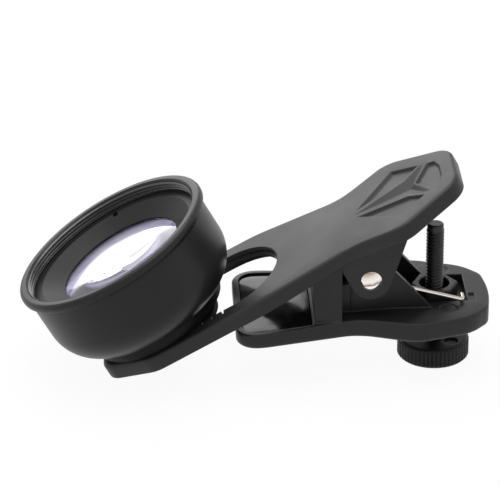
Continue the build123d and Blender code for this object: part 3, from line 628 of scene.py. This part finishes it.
# Underside: the rails' flat face, and the hollow under the handle
HOLLOW_START = 38.0
hollow_plan = [point for point in inset(plan, LEVER_WALL) if point[0] > HOLLOW_START]
hollow = lever.sink(hollow_plan, hollow_plan, -LEVER_DEPTH, -LEVER_SKIN, up=False)
lever.cover([rings[-1], slot_rings[-1], hollow], holes=[slot_ring(REBATE_HALF), hollow_plan], up=False)


def ear(pivot, radius, foot, way):
    """Side outline of an ear: a round about the pin whose flanks run up (-1) or down (1) to the foot's height."""
    span = Vector(foot) - pivot
    turn = math.atan2(span.y, span.x) + way * math.acos(radius / span.length)
    end = math.degrees(turn) + (360 if way < 0 else 0)
    return arc(pivot, radius, 180, end, 24) + [foot, (pivot.x - radius, foot[1])]


EAR_IN, EAR_OUT, EAR_BOSS = 9.0, 10.6, 2.4
lever_pin = Vector((40.9, -9.0))
lever_ear = ear(lever_pin, 3.85, (54.3, -LEVER_SKIN + 0.1), -1)
for side in (-1, 1):
    lever.tube(lever_ear, side * EAR_OUT, side * EAR_IN)
for side in (-1, 1):
    lever.tube(circle(EAR_BOSS, lever_pin), side * (EAR_IN + 0.1), side * 7.2)
arm_body = lever.object("lever_body", LEVER, 20)
arm_body.data.transform(ARM_FRAME)
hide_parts("upper_lever")
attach(arm_body, "upper_clamp")


# Lower lever, in the part's own frame. Corners are (x, distance from the middle line, radius).

DECK_Z, DECK_FRONT = 13.6, -8.0
RIM_Z, JAW_FRONT = 11.9, -39.0
FOOT_Z, FOOT_FRONT, FOOT_DROP = 9.5, -17.0, 0.5
DECK_ROUND, BASE_ROUND = 0.4, 0.9
JAW_HALF = [
    (JAW_FRONT, 14.15, 4.2), (-33.5, 14.0, 12.0), (-15.5, 10.45, 12.0), (-4.3, 14.4, 9.0), (6.4, 11.0, 9.0),
    (9.85, 7.1, 3.2), (10.85, 0.0, 30.0),
]
jaw_plan = mirrored(JAW_HALF)


def jaw_top(x):
    """The deck is level, and the top falls evenly from it to the jaw's front."""
    return DECK_Z - (DECK_Z - RIM_Z) * max(0.0, (DECK_FRONT - x) / (DECK_FRONT - JAW_FRONT))


def jaw_bottom(x):
    return FOOT_Z - FOOT_DROP * max(0.0, (FOOT_FRONT - x) / (FOOT_FRONT - JAW_FRONT))


def block_top(x):
    """Height of the plane under the arm's side walls, with the small gap of the closed clamp."""
    foot = ARM_ORIGIN / MM - NORMAL * (LEVER_DEPTH + 0.2)
    return foot.z + (x - foot.x) * math.tan(TILT)


jaw = Body()
rings = []
for k in range(4):
    lean = math.radians(90 * k / 3)
    drawn = inset(jaw_plan, DECK_ROUND * (1 - math.sin(lean)))
    rings.append(jaw.ring(drawn, [jaw_top(x) - DECK_ROUND * (1 - math.cos(lean)) for x, y in drawn]))
for k in range(6):
    lean = math.radians(90 * k / 5)
    drawn = inset(jaw_plan, BASE_ROUND * (1 - math.cos(lean)))
    rings.append(jaw.ring(drawn, [jaw_bottom(x) + BASE_ROUND * (1 - math.sin(lean)) for x, y in drawn]))
for upper, lower in zip(rings, rings[1:]):
    jaw.strip(lower, upper)

# Tray for the pad
TRAY_RIM, TRAY_DEPTH = 1.3, 1.35
TRAY_CURVE_END, TRAY_END, TRAY_HALF = -26.5, -24.3, 11.35
tray_curve = [point for point in inset(jaw_plan, TRAY_RIM) if point[0] < TRAY_CURVE_END]
tray = [point for point in tray_curve if point[1] < 0] + [(TRAY_END, -TRAY_HALF), (TRAY_END, TRAY_HALF)]
tray += [point for point in tray_curve if point[1] > 0]
tray_edge = jaw.sink(tray, tray, [jaw_top(x) for x, y in tray], [jaw_top(x) - TRAY_DEPTH for x, y in tray])

# Deck: the trench round the boss, the shallow step beside it and the mould's two round marks
TRENCH = [(-5.0, -4.5), (6.1, -4.5), (6.1, 6.9), (-5.0, 6.9)]
STEP = [(6.4, -4.5), (7.6, -4.5), (7.6, -1.2), (6.4, -1.2)]
MARK_RADIUS = 1.8
marks = [circle(MARK_RADIUS, centre) for centre in ((2.1, -7.4), (2.0, 9.0))]
sunk = [jaw.sink(outline, outline, DECK_Z, DECK_Z - depth) for outline, depth in ((TRENCH, 2.2), (STEP, 0.35))]
sunk += [jaw.sink(outline, inset(outline, 0.06), DECK_Z, DECK_Z - 0.16) for outline in marks]
crease = jaw.ring([(DECK_FRONT, -11.6), (DECK_FRONT, 11.6)], DECK_Z)
jaw.cover([rings[0], tray_edge] + sunk, [crease], [tray, TRENCH, STEP] + marks)

# Underside, hollow behind the tray
HOLLOW_WALL, HOLLOW_FRONT, HOLLOW_Z = 1.6, -22.0, 11.2
under = [point for point in inset(jaw_plan, HOLLOW_WALL) if point[0] > HOLLOW_FRONT]
under_edge = jaw.sink(under, under, [jaw_bottom(x) for x, y in under], HOLLOW_Z, up=False)
jaw.cover([rings[-1], under_edge], holes=[under], up=False)

# Stop block, and the ears with their webs
STOP_FRONT, STOP_REAR, STOP_LEAN, STOP_FOOT, STOP_HALF = -23.75, -18.7, 0.6, 12.0, 10.9
block = [
    (STOP_REAR, STOP_FOOT), (STOP_REAR, block_top(STOP_REAR)),
    (STOP_FRONT - STOP_LEAN, block_top(STOP_FRONT - STOP_LEAN)), (STOP_FRONT, STOP_FOOT),
]
jaw.tube(block, -STOP_HALF, STOP_HALF)
PIN = Vector((-13.15, 21.4))
jaw_ear = ear(PIN, 3.6, (-0.6, 13.0), 1)
web = [(-18.9, 12.5), (-16.5, 12.5), (-16.5, 19.4), (-18.9, 18.6)]
for side in (-1, 1):
    jaw.tube(jaw_ear, side * 7.0, side * 5.75)
    jaw.tube(web, side * 6.95, side * 5.8)

# Hexagonal boss with the screw's bore
BOSS_RADIUS, BOSS_TURN, BOSS_TOP, BOSS_FOOT = 4.65, 3, 15.5, 9.4
hexagon = rounded([(*on_circle(math.radians(60 * k + BOSS_TURN), BOSS_RADIUS), 0.6) for k in range(6)])
bore = circle(2.95)
bore_lip = inset(bore, -0.15)
boss_loops = [jaw.ring(inset(hexagon, 0.25), BOSS_TOP)]
boss_loops += [jaw.ring(hexagon, height) for height in (BOSS_TOP - 0.25, BOSS_FOOT)]
bore_loops = [jaw.ring(bore_lip, BOSS_TOP), jaw.ring(bore, BOSS_TOP - 0.15), jaw.ring(bore, BOSS_FOOT)]
for loops in (boss_loops, bore_loops):
    jaw.strip(loops[1], loops[0])
    jaw.strip(loops[2], loops[1])
jaw.cover([boss_loops[0], bore_loops[0]], holes=[bore_lip])
jaw.cover([boss_loops[2], bore_loops[2]], holes=[bore], up=False)
jaw_body = jaw.object("jaw_body", JAW, 24)
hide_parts("lower_lever")
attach(jaw_body, "lower_clamp")

# Pad in the tray: rings at a gap from the tray's side and a drop from its rim
pad = Body()
pad_rings = []
for gap, drop in ((0.12, 1.3), (0.12, 0.45), (0.2, 0.34), (0.4, 0.3)):
    drawn = inset(tray, gap)
    pad_rings.append(pad.ring(drawn, [jaw_top(x) - drop for x, y in drawn]))
for lower, upper in zip(pad_rings, pad_rings[1:]):
    pad.strip(lower, upper)
pad.cover([pad_rings[-1]])
pad.cover([pad_rings[0]], up=False)
pad_body = pad.object("pad_body", PAD, 30)
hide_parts("jaw_pad")
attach(pad_body, "lower_clamp")


# Spring wire that winds up with the clamp: the coil round the pin, one leg on the deck and one under the handle

WIRE_RADIUS, WIRE_SIDES = 0.42, 12
COIL_RADIUS, COIL_HALF, COIL_TURNS, COIL_STEPS = 1.85, 5.4, 10, 360
LEG_X, LEG_Z, LEG_BEND = 5.0, 14.42, 2.0
HANDLE_LEG_U, HANDLE_LEG_V = 53.0, -2.32


def leg_turn(x, z, side):
    """Angle at which a wire to a point leaves the coil."""
    reach = math.hypot(x - PIN.x, z - PIN.y)
    return math.atan2(z - PIN.y, x - PIN.x) + side * math.acos(COIL_RADIUS / reach)


def wire(path, radius, sides):
    """Rows of points round a path, which turn along with it."""
    verts = []
    side = Vector((0, 0, 1))
    for i, at in enumerate(path):
        way = (path[min(i + 1, len(path) - 1)] - path[max(i - 1, 0)]).normalized()
        side = (side - way * side.dot(way)).normalized()
        other = way.cross(side)
        for k in range(sides):
            a, b = on_circle(2 * math.pi * k / sides, radius)
            verts.append(at + side * a + other * b)
    return verts


under_handle = ARM_ORIGIN / MM + ALONG * HANDLE_LEG_U + NORMAL * HANDLE_LEG_V
first_turn = leg_turn(LEG_X, LEG_Z, -1)
last_turn = leg_turn(under_handle.x, under_handle.z, 1)
coil_sweep = 2 * math.pi * COIL_TURNS + first_turn - last_turn
wire_path = [
    Vector((LEG_X - back, along - COIL_HALF, LEG_Z))
    for back, along in ((0.0, LEG_BEND), (0.0, 0.45), (0.12, 0.12), (0.45, 0.0))
]
for k in range(COIL_STEPS + 1):
    x, z = on_circle(first_turn - coil_sweep * k / COIL_STEPS, COIL_RADIUS, PIN)
    wire_path.append(Vector((x, -COIL_HALF + 2 * COIL_HALF * k / COIL_STEPS, z)))
handle_tip = Vector((under_handle.x, COIL_HALF, under_handle.z))
wire_path += [wire_path[-1].lerp(handle_tip, share) for share in (0.12, 0.25, 0.5, 1.0)]
rows = len(wire_path)
spring = new_object(
    "spring_wire", wire(wire_path, WIRE_RADIUS, WIRE_SIDES), grid(rows, WIRE_SIDES) + ends(rows, WIRE_SIDES), SPRING_PAINTED_REFLECTION,
    40,
)
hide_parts("torsion_spring")
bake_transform(spring)


# Threads

def tooth(phase, flat):
    """Height of a thread's profile, 0 at the root and 1 at the crest, over one pitch."""
    x = abs((phase % 1.0) - 0.5) * 2
    return min(1.0, max(0.0, ((1 - x) - flat) / (1 - 2 * flat)))


SCREW_PITCH = 0.7
SCREW_CREST, SCREW_TEETH = 1.74, 0.36
SCREW_TOP = 28.2
SCREW_FOOT = 1.2
NECK, NECK_RADIUS, NECK_ROUND = 1.3, 1.60, 0.25
THREAD_TOP = SCREW_TOP - NECK


def screw_radius(h, share):
    """The thread, which runs out below a plain neck with a rounded tip."""
    if h > THREAD_TOP:
        round_share = max(0.0, h - SCREW_TOP + NECK_ROUND) / NECK_ROUND
        return NECK_RADIUS - 0.28 * round_share ** 2
    grow = min(1.0, (THREAD_TOP - h) / 0.5)
    return SCREW_CREST - SCREW_TEETH * grow * (1 - tooth(h / SCREW_PITCH - share, 0.12))


row_step = SCREW_PITCH / 8
heights = [SCREW_FOOT + i * row_step for i in range(int((THREAD_TOP - SCREW_FOOT) / row_step) + 1)]
heights += [THREAD_TOP + 0.001, THREAD_TOP + 0.05]
heights += [SCREW_TOP - below for below in (NECK_ROUND, 0.16, 0.08, 0.03, 0.0)]
SCREW_SEGMENTS = 48
screw = new_object(
    "screw_thread", turned([(partial(screw_radius, h), h) for h in heights], SCREW_SEGMENTS),
    grid(len(heights), SCREW_SEGMENTS) + ends(len(heights), SCREW_SEGMENTS), SCREW,
)
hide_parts("screw_rod")
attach(screw, "screw")

# Filter thread inside the lens's mouth: a thin sleeve against the wall, with its turns inward
FILTER_PITCH = 0.62
FILTER_LOW, FILTER_HIGH = 17.24, 19.40
FILTER_RADIUS, FILTER_TEETH = 18.235, 0.34
FILTER_ROWS, FILTER_SEGMENTS = 41, 192


def filter_radius(h, share):
    fade = min(1.0, (h - FILTER_LOW) / 0.25, (FILTER_HIGH - h) / 0.25)
    return FILTER_RADIUS - FILTER_TEETH * max(0.0, fade) * tooth(h / FILTER_PITCH - share, 0.1)


heights = [FILTER_LOW + (FILTER_HIGH - FILTER_LOW) * i / (FILTER_ROWS - 1) for i in range(FILTER_ROWS)]
filter_thread = new_object(
    "filter_thread", turned([(partial(filter_radius, h), h) for h in heights], FILTER_SEGMENTS),
    grid(FILTER_ROWS, FILTER_SEGMENTS), THREAD,
)
filter_thread.data.flip_normals()
filter_thread.data.transform(ARM_FRAME)
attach(filter_thread, "lens")


# Stage, light and camera

def white_where_seen(s, shaded, plain):
    """Plain white to the camera and in reflections, and the shaded surface to other light."""
    glow = s.node("ShaderNodeEmission")
    glow.inputs["Color"].default_value = (1, 1, 1, 1)
    return s.mix_shader(s.math("MULTIPLY", s.seen(), plain), shaded, glow)


FLOOR_WHITE = 0.94
FLOOR_HALF = 6.0
FLOOR_DROP = 0.00002
floor_shader = Shader("floor_look")
floor_body = floor_shader.principled(Roughness=0.9, Specular_IOR_Level=0.1, Base_Color=(0.92, 0.92, 0.92, 1))
floor_look = floor_shader.finish(white_where_seen(floor_shader, floor_body, FLOOR_WHITE))
floor_mesh = bpy.data.meshes.new("floor")
floor_corners = [(x * FLOOR_HALF, y * FLOOR_HALF, 0) for x, y in ((-1, -1), (1, -1), (1, 1), (-1, 1))]
floor_mesh.from_pydata(floor_corners, [], [(0, 1, 2, 3)])
floor_mesh.materials.append(floor_look)
floor = bpy.data.objects.new("floor", floor_mesh)
bpy.context.scene.collection.objects.link(floor)
floor.location = (0, 0, -FLOOR_DROP)

STUDIO_LIGHT = 0.45
world = bpy.data.worlds.new("studio")
world.use_nodes = True
studio = Nodes(world.node_tree)
level = studio.node("ShaderNodeMapRange")
level.inputs["To Min"].default_value = STUDIO_LIGHT
level.inputs["To Max"].default_value = 1.0
studio.link(studio.seen(), level.inputs["Value"])
sky = studio.node("ShaderNodeBackground")
sky.inputs["Color"].default_value = (1, 1, 1, 1)
studio.link(level.outputs["Result"], sky.inputs["Strength"])
studio.link(sky.outputs[0], studio.node("ShaderNodeOutputWorld").inputs["Surface"])
bpy.context.scene.world = world


def softbox(name, place, aim, wide, high, watts):
    data = bpy.data.lights.new(name, "AREA")
    data.shape = "RECTANGLE"
    data.size = wide
    data.size_y = high
    data.energy = watts
    lamp = bpy.data.objects.new(name, data)
    lamp.location = place
    lamp.rotation_euler = (Vector(aim) - Vector(place)).to_track_quat("-Z", "Y").to_euler()
    bpy.context.scene.collection.objects.link(lamp)


CENTRE = Vector((-0.030, 0, 0.015))
softbox("key", (-0.10, 0.05, 0.75), CENTRE, 0.7, 0.7, 5.0)
softbox("back", (-0.22, 0.62, 0.30), CENTRE, 0.5, 0.35, 1.2)

SENSOR = 36.0
FOCAL_PIXELS, PICTURE_PIXELS = 2877.0, 500.0
camera_data = bpy.data.cameras.new("camera")
camera = bpy.data.objects.new("camera", camera_data)
bpy.context.scene.collection.objects.link(camera)
camera_data.sensor_width = SENSOR
camera_data.lens = FOCAL_PIXELS / PICTURE_PIXELS * SENSOR
camera_data.clip_start = 0.05
camera_data.clip_end = 20.0
AZIMUTH, ELEVATION, ROLL = map(math.radians, (-2.35, 26.10, -0.49))
right = Vector((math.cos(AZIMUTH), math.sin(AZIMUTH), 0))
back = Vector((
    math.sin(AZIMUTH) * math.cos(ELEVATION), -math.cos(AZIMUTH) * math.cos(ELEVATION), math.sin(ELEVATION)
))
up = back.cross(right)
turned_right = right * math.cos(ROLL) + up * math.sin(ROLL)
turned_up = up * math.cos(ROLL) - right * math.sin(ROLL)
pose = Matrix((turned_right, turned_up, back)).transposed().to_4x4()
pose.translation = Vector((-56.12, -496.76, 267.04)) * MM
camera.matrix_world = pose
bpy.context.scene.camera = camera
bpy.context.scene.view_settings.view_transform = "Standard"

bpy.context.view_layer.update()
